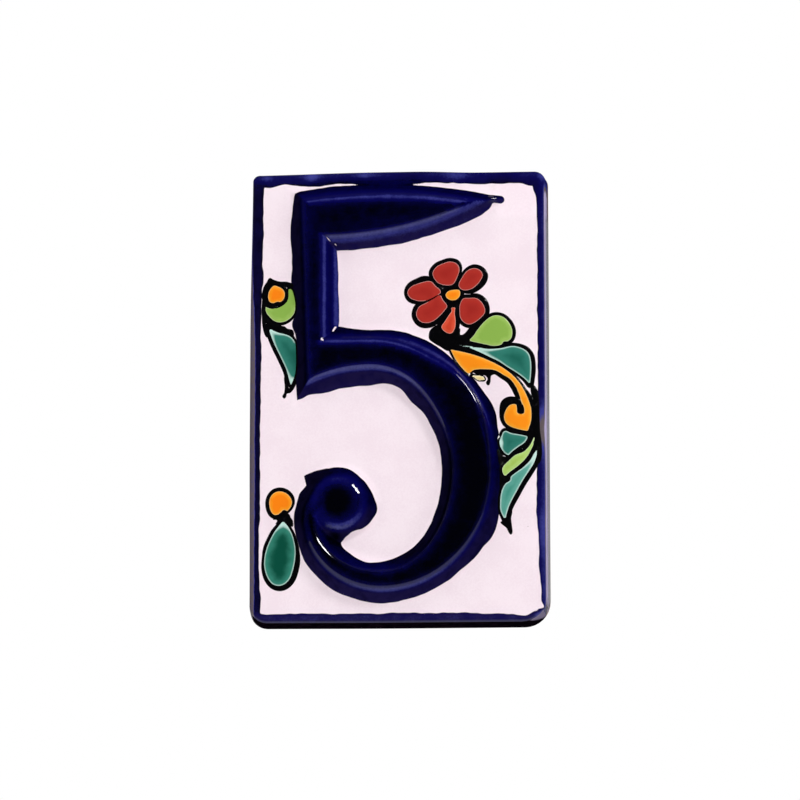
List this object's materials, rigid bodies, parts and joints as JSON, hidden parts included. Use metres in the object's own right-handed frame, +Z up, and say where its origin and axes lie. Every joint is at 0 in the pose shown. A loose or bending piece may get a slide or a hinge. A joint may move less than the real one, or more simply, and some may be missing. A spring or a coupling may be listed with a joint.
{
  "type": "house number tile",
  "caption": "Upright glazed earthenware tile with a raised numeral, a blue border and painted flower sprigs, bedded on a wall beside a door to show the house number.",
  "frame": {"origin": "middle of the flat back, where the tile is bedded against the wall", "axes": "+Z up the tile, +Y out of the back towards the wall, so the glazed face looks along -Y, and +X to the reader's right"},
  "size_m": [0.0716, 0.0122, 0.11],
  "materials": {
    "glazed_earthenware": "gloss glaze, white ground with cobalt blue border and numeral"
  },
  "bodies": {
    "root": {"number_tile": "glazed_earthenware"}
  },
  "joints": []
}
